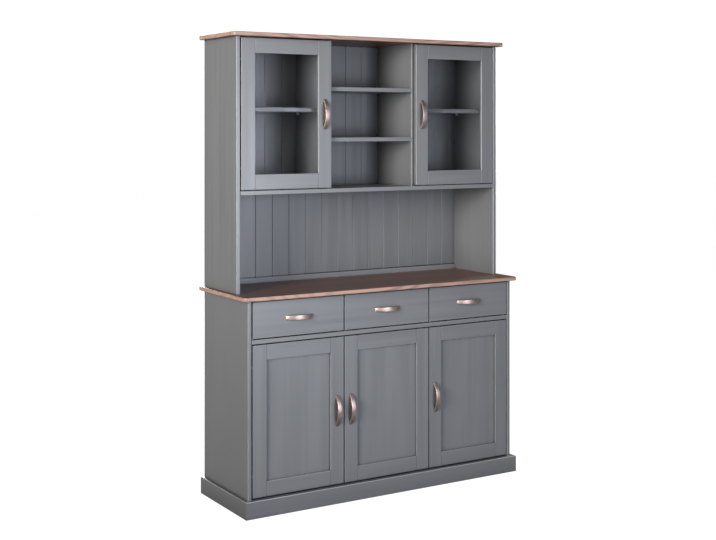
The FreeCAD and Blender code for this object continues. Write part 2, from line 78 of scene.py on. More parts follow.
# Shade in the narrow gaps round doors and drawers, and softer shade in inner corners.
# Closed and open are shares of the view that a point has on its surroundings.
SHADE_SAMPLES = 6
GAP_REACH = 0.02
GAP_SHADE = 0.08
GAP_CLOSED = 0.16
GAP_OPEN = 0.50
LIP_CLOSED_RISE = 0.30
LIP_OPEN_RISE = 0.48
CORNER_REACH = 0.16
CORNER_SHADE = 0.62
CORNER_SPAN = (0.25, 0.95)


def socket_of(sockets, key):
    """The socket with this identifier, or else this name."""
    for socket in sockets:
        if socket.identifier == key:
            return socket
    return sockets[key]


def add_node(tree, kind, settings=None, inputs=None):
    """A new node with its settings, and its inputs set or linked."""
    made = tree.nodes.new(kind)
    for key, value in (settings or {}).items():
        setattr(made, key, value)
    for key, value in (inputs or {}).items():
        socket = socket_of(made.inputs, key)
        if isinstance(value, bpy.types.NodeSocket):
            tree.links.new(value, socket)
        else:
            socket.default_value = value
    return made


def calculate(tree, operation, first, second=0.0):
    """The result of a sum on one or two numbers."""
    inputs = {"Value": first, "Value_001": second}
    return add_node(tree, "ShaderNodeMath", {"operation": operation}, inputs).outputs["Value"]


def on_vector(tree, operation, first, second=None):
    """The result of a sum on one or two vectors."""
    inputs = {"Vector": first}
    if second is not None:
        inputs["Vector_001"] = second
    return add_node(tree, "ShaderNodeVectorMath", {"operation": operation}, inputs).outputs["Vector"]


def parts_of(tree, vector):
    """The vector's three numbers, by the names X, Y and Z."""
    return add_node(tree, "ShaderNodeSeparateXYZ", None, {"Vector": vector}).outputs


def own_place(tree):
    """The place on the piece, in its own coordinates."""
    return add_node(tree, "ShaderNodeTexCoord").outputs["Object"]


def own_normal(tree):
    """The way the surface faces, in the piece's own coordinates."""
    return add_node(tree, "ShaderNodeTexCoord").outputs["Normal"]


def mixed(tree, share, first, second, blend="MIX"):
    """The first colour with this share of the second in it."""
    settings = {"data_type": "RGBA", "blend_type": blend}
    inputs = {"Factor_Float": share, "A_Color": first, "B_Color": second}
    return socket_of(add_node(tree, "ShaderNodeMix", settings, inputs).outputs, "Result_Color")


def spread(tree, value, span, to_low, to_high):
    """The span of the value, laid smoothly over another range."""
    low, high = span
    made = add_node(
        tree,
        "ShaderNodeMapRange",
        {"interpolation_type": "SMOOTHSTEP"},
        {"Value": value, "From Min": low, "From Max": high, "To Min": to_low, "To Max": to_high},
    )
    return made.outputs["Result"]


def noise(tree, place, pattern):
    """A noise pattern with its own stretch, detail and roughness."""
    stretch, detail, roughness = pattern
    scaled = on_vector(tree, "MULTIPLY", place, stretch)
    made = add_node(
        tree,
        "ShaderNodeTexNoise",
        None,
        {"Vector": scaled, "Scale": 1.0, "Detail": detail, "Roughness": roughness},
    )
    return socket_of(made.outputs, "Fac")


def new_group(name, inputs, outputs):
    """An empty shader group with these named sockets, and its two end nodes."""
    group = bpy.data.node_groups.new(name, "ShaderNodeTree")
    for title, kind in inputs:
        group.interface.new_socket(name=title, in_out="INPUT", socket_type=kind)
    for title, kind in outputs:
        group.interface.new_socket(name=title, in_out="OUTPUT", socket_type=kind)
    start = group.nodes.new("NodeGroupInput")
    end = group.nodes.new("NodeGroupOutput")
    return group, start, end


def rounded_edge_mask(tree):
    """One on the rounded edges and nought on flat faces, read from the piece's own normal."""
    size = parts_of(tree, on_vector(tree, "ABSOLUTE", own_normal(tree)))
    largest = calculate(tree, "MAXIMUM", size["X"], size["Y"])
    largest = calculate(tree, "MAXIMUM", largest, size["Z"])
    return spread(tree, largest, FLAT_TO_ROUNDED, 0.0, 1.0)


def openness(tree, reach):
    """One where nothing stands within reach of the surface, and less where something does."""
    settings = {"samples": SHADE_SAMPLES}
    return add_node(tree, "ShaderNodeAmbientOcclusion", settings, {"Distance": reach}).outputs["AO"]


def narrow_gap_shade(tree, outline):
    """One on open faces, falling in narrow gaps; on a piece's outline the gap's lips darken too."""
    closed_to = calculate(tree, "ADD", calculate(tree, "MULTIPLY", outline, LIP_CLOSED_RISE), GAP_CLOSED)
    open_from = calculate(tree, "ADD", calculate(tree, "MULTIPLY", outline, LIP_OPEN_RISE), GAP_OPEN)
    return spread(tree, openness(tree, GAP_REACH), (closed_to, open_from), GAP_SHADE, 1.0)


def corner_shade(tree, edge):
    """One on open faces and rounded edges, falling in inner corners, under boards and at the floor."""
    shade = spread(tree, openness(tree, CORNER_REACH), CORNER_SPAN, CORNER_SHADE, 1.0)
    return calculate(tree, "MAXIMUM", shade, edge)


def build_paint_group():
    """Paint over wood: the grain telegraphs through as streaks and relief, with painted highlights and
    painted shade laid into the colour.
    """
    group, start, end = new_group(
        "paint over grain",
        [
            ("Along Grain", "NodeSocketVector"),
            ("Paint", "NodeSocketColor"),
            ("Edge Shading Paint", "NodeSocketColor"),
            ("Edge Shading Share", "NodeSocketFloat"),
            ("Outline", "NodeSocketFloat"),
            ("Base Roughness", "NodeSocketFloat"),
        ],
        [
            ("Colour", "NodeSocketColor"),
            ("Roughness", "NodeSocketFloat"),
            ("Height", "NodeSocketFloat"),
        ],
    )
    place = start.outputs["Along Grain"]
    outline = start.outputs["Outline"]
    pores = noise(group, place, PORES)
    figure = noise(group, place, FIGURE)
    clouds = noise(group, place, BRUSH_CLOUDS)
    edge = rounded_edge_mask(group)

    # The edge shading paint goes on the rounded edges: a painted highlight on most pieces, painted
    # shading in the V joints of the boarding, and less of it at the lips of gaps.
    edge_shading = calculate(group, "MULTIPLY", edge, start.outputs["Edge Shading Share"])
    away_from_gaps = spread(group, outline, (0.0, 1.0), 1.0, EDGE_SHADING_BY_GAPS)
    edge_shading = calculate(group, "MULTIPLY", edge_shading, away_from_gaps)
    colour = mixed(group, edge_shading, start.outputs["Paint"], start.outputs["Edge Shading Paint"])
    dark = mixed(group, 1.0, colour, DARK_STREAK, "MULTIPLY")
    pale = mixed(group, 1.0, colour, PALE_STREAK, "MULTIPLY")
    colour = mixed(group, spread(group, figure, FIGURE_SPAN, 0.0, 1.0), dark, pale)
    fine = spread(group, pores, PORE_SPAN, 0.0, PORE_DARKNESS)
    colour = mixed(group, fine, colour, dark)
    colour = mixed(group, spread(group, clouds, CLOUD_SPAN, 0.0, CLOUD_PALENESS), colour, pale)
    # Painted shade in narrow gaps and in inner corners.
    colour = mixed(group, 1.0, colour, narrow_gap_shade(group, outline), "MULTIPLY")
    colour = mixed(group, 1.0, colour, corner_shade(group, edge), "MULTIPLY")
    group.links.new(colour, end.inputs["Colour"])

    sheen_low, sheen_high = SHEEN_SHIFT
    sheen = spread(group, figure, SHEEN_SPAN, sheen_low, sheen_high)
    rough = calculate(group, "ADD", start.outputs["Base Roughness"], sheen)
    rough = calculate(group, "ADD", rough, calculate(group, "MULTIPLY", fine, PORE_ROUGHNESS))
    group.links.new(rough, end.inputs["Roughness"])

    ridges = calculate(group, "MULTIPLY", figure, FIGURE_HEIGHT)
    specks = calculate(group, "MULTIPLY", pores, PORE_HEIGHT)
    group.links.new(calculate(group, "ADD", ridges, specks), end.inputs["Height"])
    return group


paint_group = build_paint_group()


def turned_place(tree, turn, shift=NO_SHIFT):
    """The piece's own coordinates, turned so that its grain runs along Z."""
    inputs = {"Vector": own_place(tree), "Rotation": turn, "Location": shift}
    return add_node(tree, "ShaderNodeMapping", None, inputs).outputs["Vector"]


def new_material(name):
    """A material with its node tree and its Principled shader."""
    material = bpy.data.materials.new(name)
    material.use_nodes = True
    tree = material.node_tree
    shader = tree.nodes["Principled BSDF"]
    return material, tree, shader


def relief(tree, shader, height, depth, normal=None):
    """Let the height tilt the shader's normal; depth is the real relief in metres."""
    bump = add_node(tree, "ShaderNodeBump", None, {"Height": height, "Distance": depth})
    if normal:
        tree.links.new(normal, bump.inputs["Normal"])
    tree.links.new(bump.outputs["Normal"], shader.inputs["Normal"])


def paint_from(name, inputs_for, shading_normal=None):
    """Grey paint; inputs_for gives the grain's coordinates and what else differs from plain paint."""
    material, tree, shader = new_material(name)
    inputs = {
        "Paint": GREY_PAINT,
        "Edge Shading Paint": EDGE_HIGHLIGHT_PAINT,
        "Edge Shading Share": EDGE_HIGHLIGHT_SHARE,
        "Outline": 0.0,
        "Base Roughness": PAINT_ROUGHNESS,
    }
    inputs.update(inputs_for(tree))
    group = add_node(tree, "ShaderNodeGroup", {"node_tree": paint_group}, inputs)
    tree.links.new(group.outputs["Colour"], shader.inputs["Base Color"])
    tree.links.new(group.outputs["Roughness"], shader.inputs["Roughness"])
    normal = shading_normal(tree) if shading_normal else None
    relief(tree, shader, group.outputs["Height"], PAINT_RELIEF, normal)
    shader.inputs["Specular IOR Level"].default_value = PAINT_SHEEN
    return material


def grey_paint(name, turn, shift=NO_SHIFT):
    """Plain grey paint on boards whose grain is turned like this."""
    return paint_from(name, lambda tree: {"Along Grain": turned_place(tree, turn, shift)})


def finish_with(names, material):
    """Give these pieces of the cabinet their finish."""
    for name in names:
        piece = nodes[name]
        piece.data.materials.clear()
        piece.data.materials.append(material)
        piece.data.polygons.foreach_set("material_index", [0] * len(piece.data.polygons))


upright_paint = grey_paint("grey paint upright grain", UPRIGHT)
finish_with(SIDE_PANELS, upright_paint)

# Level boards: base bottom, the deck that carries the drawers, hutch floor and shelves.
# Softwood with its grain from side to side, painted like the side panels and screwed
# between the upright boards, while the shelves of the cupboards lie loose on pins.
LEVEL_BOARDS = ["base_bottom", "base_deck", "hutch_bottom", "bay_shelves"]
LOOSE_SHELVES = ["base_shelf_double", "base_shelf_single", "glass_cupboard_shelves"]
QUARTER_TURN = math.radians(90.0)
ACROSS = (0.0, QUARTER_TURN, 0.0)
LEVEL_GRAIN = (0.31, 0.0, 0.17)
level_paint = grey_paint("grey paint level grain", ACROSS, LEVEL_GRAIN)
finish_with(LEVEL_BOARDS + LOOSE_SHELVES, level_paint)

# Partitions and drawer dividers: upright softwood boards, set back behind the doors and
# drawer fronts and screwed through the boards above and below. Painted like the sides.
PARTITIONS = [
    "base_partition",
    "drawer_divider_left",
    "drawer_divider_right",
    "hutch_partition_left",
    "hutch_partition_right",
]
PARTITION_GRAIN = (0.83, 0.4, 0.0)
partition_paint = grey_paint("grey paint partitions", UPRIGHT, PARTITION_GRAIN)
finish_with(PARTITIONS, partition_paint)

# Backs: upright softwood boards with V joints in the hutch, and a thin sheet behind the
# base, set in rebates of the side panels. All are painted, with painted shade on the lower
# boarding. Paint fills the V joints in part, and a painted shadow runs along the outline.
SHADED_PAINT = (0.170, 0.172, 0.177, 1.0)
BACK_PAINTS = {
    "hutch_back_lower": SHADED_PAINT,
    "hutch_back_upper": GREY_PAINT,
    "base_back": GREY_PAINT,
}
BOARDING_GRAIN = (0.05, 0.9, 0.3)
SEAM_SHADOW = (0.045, 0.046, 0.050, 1.0)
GROOVE_FILL = (0.48, 1.0, 1.0)
# Painted shading on the flanks of the V joints: a little darker than the upper boarding's paint, a
# little paler than the lower boarding's painted shade.
GROOVE_PAINTED_SHADING = (0.188, 0.190, 0.196, 1.0)
GROOVE_SHADING_SHARE = 1.0
LIP_WIDTH = 0.005


def outline_of(tree, piece):
    """One within a few millimetres of the piece's outline as seen from the front."""
    low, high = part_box(piece)
    place = parts_of(tree, own_place(tree))
    inside = 1.0
    for axis, first, last in (("X", low.x, high.x), ("Z", low.z, high.z)):
        from_first = calculate(tree, "SUBTRACT", place[axis], first)
        to_last = calculate(tree, "SUBTRACT", last, place[axis])
        nearer = calculate(tree, "MINIMUM", from_first, to_last)
        inside = calculate(tree, "MINIMUM", inside, nearer)
    return spread(tree, inside, (LIP_WIDTH, LIP_WIDTH / 2), 0.0, 1.0)


def filled_groove_normal(tree):
    """The paint runs into the V joints, so their flanks catch the light as if less steep."""
    flatter = on_vector(tree, "MULTIPLY", own_normal(tree), GROOVE_FILL)
    return on_vector(tree, "NORMALIZE", flatter)


def boarding_paint(back, paint):
    """Paint for one back, with a painted shadow along its outline, and with its V joints filled and
    given painted shading where it has them.
    """
    def inputs_for(tree):
        outline = outline_of(tree, back)
        return {
            "Along Grain": turned_place(tree, UPRIGHT, BOARDING_GRAIN),
            "Paint": mixed(tree, outline, paint, SEAM_SHADOW),
            "Edge Shading Paint": GROOVE_PAINTED_SHADING,
            "Edge Shading Share": GROOVE_SHADING_SHARE,
            "Outline": outline,
        }

    return paint_from("grey paint " + back, inputs_for, filled_groove_normal)


for back, paint in BACK_PAINTS.items():
    finish_with([back], boarding_paint(back, paint))

# Rear rail: a low softwood board along the back of the worktop, closing the back below
# the boarding, with its ends let into the rebates of the side panels. Its grey paint is
# a little paler, as painted light, with a painted highlight along the edges.
RAIL_PAINT_WITH_PAINTED_LIGHT = (0.235, 0.238, 0.246, 1.0)
RAIL_GRAIN = (0.6, 0.1, 0.2)
RAIL_HIGHLIGHT_SHARE = 1.0


def rail_inputs(tree):
    """What the rail's paint has of its own."""
    return {
        "Along Grain": turned_place(tree, ACROSS, RAIL_GRAIN),
        "Paint": RAIL_PAINT_WITH_PAINTED_LIGHT,
        "Edge Shading Share": RAIL_HIGHLIGHT_SHARE,
    }


finish_with(["hutch_rear_rail"], paint_from("grey paint rear rail", rail_inputs))

# Plinth: three softwood boards round the foot, screwed to the side panels from within.
# The front board covers the ends of the two side boards, and all three carry a painted
# highlight along their rounded edges.
FRONT_TO_BACK = (QUARTER_TURN, 0.0, 0.0)
PLINTH_FRONT_GRAIN = (0.31, 0.0, 0.17)
PLINTH_END_GRAIN = (0.2, 0.0, 0.6)
PLINTH_HIGHLIGHT_SHARE = 1.0


def plinth_paint(name, turn, shift):
    """Paint with a painted highlight along the edges of a plinth board."""
    def inputs_for(tree):
        return {"Along Grain": turned_place(tree, turn, shift), "Edge Shading Share": PLINTH_HIGHLIGHT_SHARE}

    return paint_from(name, inputs_for)


plinth_front_paint = plinth_paint("grey paint plinth front", ACROSS, PLINTH_FRONT_GRAIN)
plinth_end_paint = plinth_paint("grey paint plinth ends", FRONT_TO_BACK, PLINTH_END_GRAIN)
finish_with(["plinth_front"], plinth_front_paint)
finish_with(["plinth_ends"], plinth_end_paint)

# Worktop and cornice: softwood boards glued up from wide staves, stained reddish
# brown under satin lacquer, with rounded edges made paler by painted light.
STAINED_BOARDS = ["worktop", "cornice_board"]
STAIN = (0.208, 0.098, 0.066, 1.0)
DARK_STAIN = (0.113, 0.056, 0.042, 1.0)
EDGE_PAINTED_LIGHT_LIFT = (2.5, 3.3, 3.7, 1.0)
STAIN_ROUGHNESS = 0.45
LACQUER = 0.15
LACQUER_ROUGHNESS = 0.35
LATE_WOOD_GLOSS = 0.08
WOOD_RELIEF = 0.00018
TOP_TO_EDGE = (0.95, 0.60)

# The grain has bands of late wood that wander along each stave, and fine pores. Each
# stave is cut from another place, and some staves are paler.
STAVE_WIDTH = 0.092
STAVE_CUT = (3.0, 3.0, 3.0)
PALE_STAVE = (1.22, 1.18, 1.15, 1.0)
WANDER = ((6.0, 6.0, 0.8), 2.0, 0.5)
BAND_COUNT = 26.0
FULL_TURN = 2 * math.pi
BAND_SPAN = (-0.2, 1.0)
BAND_BLUR = ((60.0, 60.0, 2.0), 3.0, 0.5)
BLUR_SPAN = (0.3, 0.7)
FAINTEST_BAND = 0.35
BAND_HEIGHT = 0.5
WOOD_PORES = ((520.0, 520.0, 11.0), 4.0, 0.65)
WOOD_PORE_SPAN = (0.50, 0.68)
WOOD_PORE_DARKNESS = 0.6
WOOD_PORE_HEIGHT = -0.5


def build_wood_group():
    """Plain-sawn softwood: bands of late wood, fine pores, and staves of their own tone."""
    group, start, end = new_group(
        "sawn softwood",
        [
            ("Along Grain", "NodeSocketVector"),
            ("Early Wood", "NodeSocketColor"),
            ("Late Wood", "NodeSocketColor"),
            ("Stave Width", "NodeSocketFloat"),
        ],
        [
            ("Colour", "NodeSocketColor"),
            ("Streaks", "NodeSocketFloat"),
            ("Height", "NodeSocketFloat"),
        ],
    )
    place = start.outputs["Along Grain"]
    late_wood = start.outputs["Late Wood"]
    stave = calculate(group, "DIVIDE", parts_of(group, place)["Y"], start.outputs["Stave Width"])
    stave = calculate(group, "FLOOR", stave)
    tone = add_node(group, "ShaderNodeTexWhiteNoise", {"noise_dimensions": "1D"}, {"W": stave})
    cut = on_vector(group, "MULTIPLY", tone.outputs["Color"], STAVE_CUT)
    cut = on_vector(group, "ADD", cut, place)

    across = calculate(group, "MULTIPLY", noise(group, cut, WANDER), BAND_COUNT)
    bands = calculate(group, "SINE", calculate(group, "MULTIPLY", across, FULL_TURN))
    bands = spread(group, bands, BAND_SPAN, 0.0, 1.0)
    clearness = spread(group, noise(group, cut, BAND_BLUR), BLUR_SPAN, FAINTEST_BAND, 1.0)
    streaks = calculate(group, "MULTIPLY", bands, clearness)
    pores = noise(group, cut, WOOD_PORES)

    colour = mixed(group, streaks, start.outputs["Early Wood"], late_wood)
    fine = spread(group, pores, WOOD_PORE_SPAN, 0.0, WOOD_PORE_DARKNESS)
    colour = mixed(group, fine, colour, late_wood)
    paler = mixed(group, 1.0, colour, PALE_STAVE, "MULTIPLY")
    colour = mixed(group, tone.outputs["Value"], colour, paler)
    group.links.new(colour, end.inputs["Colour"])
    group.links.new(streaks, end.inputs["Streaks"])

    ridges = calculate(group, "MULTIPLY", streaks, BAND_HEIGHT)
    pits = calculate(group, "MULTIPLY", pores, WOOD_PORE_HEIGHT)
    group.links.new(calculate(group, "ADD", ridges, pits), end.inputs["Height"])
    return group


wood_group = build_wood_group()


def board_edge_mask(tree):
    """One round the edge of a level board and nought on its top and underside."""
    level = calculate(tree, "ABSOLUTE", parts_of(tree, own_normal(tree))["Z"])
    return spread(tree, level, TOP_TO_EDGE, 0.0, 1.0)


def wood_finish(name, turn, early, late, edge_light_lift, roughness, coat):
    """Sawn softwood in two tones under a coat of lacquer; edge_light_lift sets how much painted light
    brightens its edge.
    """
    material, tree, shader = new_material(name)
    wood = add_node(
        tree,
        "ShaderNodeGroup",
        {"node_tree": wood_group},
        {
            "Along Grain": turned_place(tree, turn),
            "Early Wood": early,
            "Late Wood": late,
            "Stave Width": STAVE_WIDTH,
        },
    )
    # Painted light: the board's edges are brightened, its top and underside left as they are.
    pale = mixed(tree, 1.0, wood.outputs["Colour"], edge_light_lift, "MULTIPLY")
    colour = mixed(tree, board_edge_mask(tree), wood.outputs["Colour"], pale)
    tree.links.new(colour, shader.inputs["Base Color"])
    glossier = roughness - LATE_WOOD_GLOSS
    rough = spread(tree, wood.outputs["Streaks"], (0.0, 1.0), roughness, glossier)
    tree.links.new(rough, shader.inputs["Roughness"])
    relief(tree, shader, wood.outputs["Height"], WOOD_RELIEF)
    shader.inputs["Coat Weight"].default_value = coat
    shader.inputs["Coat Roughness"].default_value = LACQUER_ROUGHNESS
    return material


stained_wood = wood_finish(
    "stained lacquered wood", ACROSS, STAIN, DARK_STAIN, EDGE_PAINTED_LIGHT_LIFT, STAIN_ROUGHNESS, LACQUER
)
finish_with(STAINED_BOARDS, stained_wood)

# Drawers: a painted front, a box of bare sanded softwood behind it, and a thin
# bottom sheet let into grooves. The box slides on the deck board.
DRAWERS = ["drawer_left", "drawer_centre", "drawer_right"]
FRONT_GRAIN = (0.11, 0.7, 0.52)
BARE_WOOD = (0.62, 0.45, 0.28, 1.0)
BARE_LATE_WOOD = (0.48, 0.31, 0.17, 1.0)
NO_LIFT = (1.0, 1.0, 1.0, 1.0)
BOX_ROUGHNESS = 0.6
SHEET_ROUGHNESS = 0.55
NO_LACQUER = 0.0
box_wood = wood_finish(
    "bare drawer wood", FRONT_TO_BACK, BARE_WOOD, BARE_LATE_WOOD, NO_LIFT, BOX_ROUGHNESS, NO_LACQUER
)
bottom_sheet = wood_finish(
    "bare drawer bottom", ACROSS, BARE_WOOD, BARE_LATE_WOOD, NO_LIFT, SHEET_ROUGHNESS, NO_LACQUER
)


def front_paint(front):
    """Paint for one drawer front, with painted shade along the lips of the gap round it."""
    def inputs_for(tree):
        place = turned_place(tree, ACROSS, FRONT_GRAIN)
        return {"Along Grain": place, "Outline": outline_of(tree, front)}

    return paint_from("grey paint " + front, inputs_for)


for drawer in DRAWERS:
    front = drawer + "_front"
    finish_with([front], front_paint(front))
    finish_with([drawer + "_box"], box_wood)
    finish_with([drawer + "_bottom"], bottom_sheet)

# Base doors: softwood stiles and rails, joined round a thin flat panel that sits in their
# grooves, all painted. The grain runs up the stiles and the panel, and across the rails.
BASE_DOORS = ["door_left", "door_centre", "door_right"]
STILE_WIDTH = 0.065
RAIL_WIDTH = 0.064
JOINT_SHARE = 0.55
BASE_DOOR_LIPS = 1.0
PANEL_GRAIN = (0.47, 0.2, 0.9)


def build_framing_group():
    """Grain along Z on the stiles and turned on the rails between them, and a mask that is
    one on the joint lines between stile and rail."""
    group, start, end = new_group(
        "stile or rail",
        [
            ("Middle", "NodeSocketFloat"),
            ("Half Opening", "NodeSocketFloat"),
            ("Opening Foot", "NodeSocketFloat"),
            ("Opening Head", "NodeSocketFloat"),
        ],
        [("Along Grain", "NodeSocketVector"), ("Joint", "NodeSocketFloat")],
    )
    half_opening = start.outputs["Half Opening"]
    upright = own_place(group)
    parts = parts_of(group, upright)
    offset = calculate(group, "SUBTRACT", parts["X"], start.outputs["Middle"])
    away = calculate(group, "ABSOLUTE", offset)
    rail = calculate(group, "LESS_THAN", away, half_opening)
    swapped = {"X": parts["Z"], "Y": parts["Y"], "Z": parts["X"]}
    turned = add_node(group, "ShaderNodeCombineXYZ", None, swapped).outputs["Vector"]
    grain = add_node(
        group,
        "ShaderNodeMix",
        {"data_type": "VECTOR"},
        {"Factor_Float": rail, "A_Vector": upright, "B_Vector": turned},
    )
    group.links.new(socket_of(grain.outputs, "Result_Vector"), end.inputs["Along Grain"])

    from_joint = calculate(group, "ABSOLUTE", calculate(group, "SUBTRACT", away, half_opening))
    beside = calculate(group, "LESS_THAN", from_joint, LIP_WIDTH)
    below = calculate(group, "LESS_THAN", parts["Z"], start.outputs["Opening Foot"])
    above = calculate(group, "GREATER_THAN", parts["Z"], start.outputs["Opening Head"])
    level = calculate(group, "ADD", below, above)
    group.links.new(calculate(group, "MULTIPLY", beside, level), end.inputs["Joint"])
    return group


framing_group = build_framing_group()


def frame_paint(door, lip_share):
    """Paint for a door frame; lip_share says how much painted shade darkens the lips of the gap round
    it.
    """
    frame_piece = door + "_frame"
    low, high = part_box(frame_piece)

    def inputs_for(tree):
        framing = add_node(
            tree,
            "ShaderNodeGroup",
            {"node_tree": framing_group},
            {
                "Middle": (low.x + high.x) / 2,
                "Half Opening": (high.x - low.x) / 2 - STILE_WIDTH,
                "Opening Foot": low.z + RAIL_WIDTH,
                "Opening Head": high.z - RAIL_WIDTH,
            },
        )
        # The rounded edges take the full painted highlight, except the joint lines between stile and
        # rail, which take part of the lips' painted shade instead.
        joint = framing.outputs["Joint"]
        lips = calculate(tree, "MULTIPLY", outline_of(tree, frame_piece), lip_share)
        joint_lines = calculate(tree, "MULTIPLY", joint, JOINT_SHARE)
        return {
            "Along Grain": framing.outputs["Along Grain"],
            "Edge Shading Share": calculate(tree, "SUBTRACT", 1.0, joint),
            "Outline": calculate(tree, "MAXIMUM", lips, joint_lines),
        }

    return paint_from("grey paint " + door, inputs_for)


panel_paint = grey_paint("grey paint panels", UPRIGHT, PANEL_GRAIN)
for door in BASE_DOORS:
    finish_with([door + "_frame"], frame_paint(door, BASE_DOOR_LIPS))
    finish_with([door + "_panel"], panel_paint)

# Glazed doors: the same stiles and rails, here round a clear pane of float glass. Thin
# painted wooden beads, pinned from behind, hold the pane in its rebate.
GLASS_DOORS = ["glass_door_left", "glass_door_right"]
GLASS_DOOR_LIPS = 0.4
GLASS_TINT = (0.84, 0.85, 0.87, 1.0)
GLASS_IOR = 1.45
PANE_SHADE = 0.25
PANE_SHEEN = (0.2, 0.2, 0.2, 1.0)
SMEAR = ((7.0, 7.0, 5.0), 4.0, 0.5)
SMEAR_SPAN = (0.45, 0.75)
SMEAR_ROUGHNESS = 0.05
RIPPLE = ((3.0, 3.0, 4.0), 1.0, 0.5)
RIPPLE_DEPTH = 0.00008


def clear_glass():
    """Float glass with a faint ripple, wiping marks, a slight blue cast and a soft sheen.
    It holds back only a small share of the light that falls on the shelves behind it."""
    material, tree, shader = new_material("clear pane")
    shader.inputs["Base Color"].default_value = GLASS_TINT
    shader.inputs["Transmission Weight"].default_value = 1.0
    shader.inputs["IOR"].default_value = GLASS_IOR
    shader.inputs["Specular Tint"].default_value = PANE_SHEEN
    place = turned_place(tree, UPRIGHT)
    rough = spread(tree, noise(tree, place, SMEAR), SMEAR_SPAN, 0.0, SMEAR_ROUGHNESS)
    tree.links.new(rough, shader.inputs["Roughness"])
    relief(tree, shader, noise(tree, place, RIPPLE), RIPPLE_DEPTH)
    ray = add_node(tree, "ShaderNodeLightPath")
    let_through = calculate(tree, "MULTIPLY", ray.outputs["Is Shadow Ray"], 1.0 - PANE_SHADE)
    tree.links.new(calculate(tree, "SUBTRACT", 1.0, let_through), shader.inputs["Alpha"])
    return material


pane_glass = clear_glass()
for door in GLASS_DOORS:
    finish_with([door + "_frame"], frame_paint(door, GLASS_DOOR_LIPS))
    finish_with([door + "_pane"], pane_glass)
    finish_with([door + "_beads"], upright_paint)

# Hinges and shelf pins: pressed steel cups and arms under satin nickel plating, and
# short turned pegs with round heads, zinc plated, pushed into drilled holes. The cups
# are screwed into the doors and the arms to the cabinet.
NICKEL = (0.56, 0.55, 0.53, 1.0)
DULL_NICKEL = (0.36, 0.35, 0.34, 1.0)
NICKEL_METAL_SHARE = 1.0
BRIGHT_ZINC = (0.86, 0.87, 0.88, 1.0)
DULL_ZINC = (0.70, 0.71, 0.72, 1.0)
ZINC_METAL_SHARE = 0.3
TARNISH = ((130.0, 130.0, 130.0), 4.0, 0.5)
TARNISH_SPAN = (0.4, 0.7)
TARNISH_SHARE = 0.7
TARNISH_SHEEN_SPAN = (0.3, 0.7)
PLATING_ROUGHNESS = (0.24, 0.42)
SCRATCHES = ((900.0, 900.0, 60.0), 3.0, 0.5)
SCRATCH_DEPTH = 0.00002


def plated_steel(name, bright, dull, metal_share):
    """Plated steel, clouded by tarnish and finely scratched."""
    material, tree, shader = new_material(name)
    place = turned_place(tree, UPRIGHT)
    tarnish = noise(tree, place, TARNISH)
    share = spread(tree, tarnish, TARNISH_SPAN, 0.0, TARNISH_SHARE)
    tree.links.new(mixed(tree, share, bright, dull), shader.inputs["Base Color"])
    smooth, rough = PLATING_ROUGHNESS
    sheen = spread(tree, tarnish, TARNISH_SHEEN_SPAN, smooth, rough)
    tree.links.new(sheen, shader.inputs["Roughness"])
    shader.inputs["Metallic"].default_value = metal_share
    relief(tree, shader, noise(tree, place, SCRATCHES), SCRATCH_DEPTH)
    return material


nickel = plated_steel("nickel plated steel", NICKEL, DULL_NICKEL, NICKEL_METAL_SHARE)
zinc = plated_steel("bright zinc plated steel", BRIGHT_ZINC, DULL_ZINC, ZINC_METAL_SHARE)
finish_with(["hinge_arms"], nickel)
finish_with(["shelf_pins"], zinc)
finish_with([door + "_hinge_cups" for door in BASE_DOORS + GLASS_DOORS], nickel)

# Bow handles: cast straps of satin rose bronze, curved out from two feet, a little
# broader in the middle, and screwed on from behind. One form, lofted between an outer
# and an inner arc, stands at all eight drawers and doors.
FOOT_LENGTH = 0.015
CROWN_THICKNESS = 0.005
END_WIDTH_SHARE = 0.85
RINGS = 49
RING_POINTS = 28
SQUARENESS = 5.0
ROSE_BRONZE = (0.60, 0.44, 0.38, 1.0)
WORN_BRONZE = (0.70, 0.54, 0.48, 1.0)
SHADED_BRONZE = (0.40, 0.28, 0.24, 1.0)
WEAR = ((60.0, 60.0, 60.0), 4.0, 0.5)
WEAR_SPAN = (0.35, 0.65)
WEAR_SHARE = 0.6
WEAR_SHEEN_SPAN = (0.3, 0.7)
BRONZE_ROUGHNESS = (0.44, 0.54)
BRUSHING = ((1500.0, 1500.0, 70.0), 3.0, 0.5)
BRUSHING_SPAN = (0.5, 0.75)
BRUSHING_SHARE = 0.35
BRUSHING_DEPTH = 0.00002


def arc_point(share, half_span, rise):
    """Point on the arc over a span: share runs from -1 to 1 along the arc."""
    radius = (half_span ** 2 + rise ** 2) / (2 * rise)
    angle = share * math.asin(half_span / radius)
    return radius * math.sin(angle), rise - radius * (1 - math.cos(angle))


def pushed_out(value):
    """A sine or cosine pushed outwards, so that a round section becomes a soft rectangle."""
    return math.copysign(abs(value) ** (2 / SQUARENESS), value)


def bow_section(share, half, rise, width):
    """The points round the strap at this share of its length, from -1 to 1."""
    outer_z, outer_rise = arc_point(share, half, rise)
    inner_z, inner_rise = arc_point(share, half - FOOT_LENGTH, rise - CROWN_THICKNESS)
    fullness = 1 - (outer_z / half) ** 2
    half_width = width / 2 * (END_WIDTH_SHARE + (1 - END_WIDTH_SHARE) * fullness)
    middle_z = (outer_z + inner_z) / 2
    middle_rise = (outer_rise + inner_rise) / 2
    reach_z = (outer_z - inner_z) / 2
    reach_rise = (outer_rise - inner_rise) / 2
    section = []
    for step in range(RING_POINTS):
        angle = 2 * math.pi * step / RING_POINTS
        out = pushed_out(math.cos(angle))
        side = pushed_out(math.sin(angle))
        section.append((half_width * side, -(middle_rise + reach_rise * out), middle_z + reach_z * out))
    return section


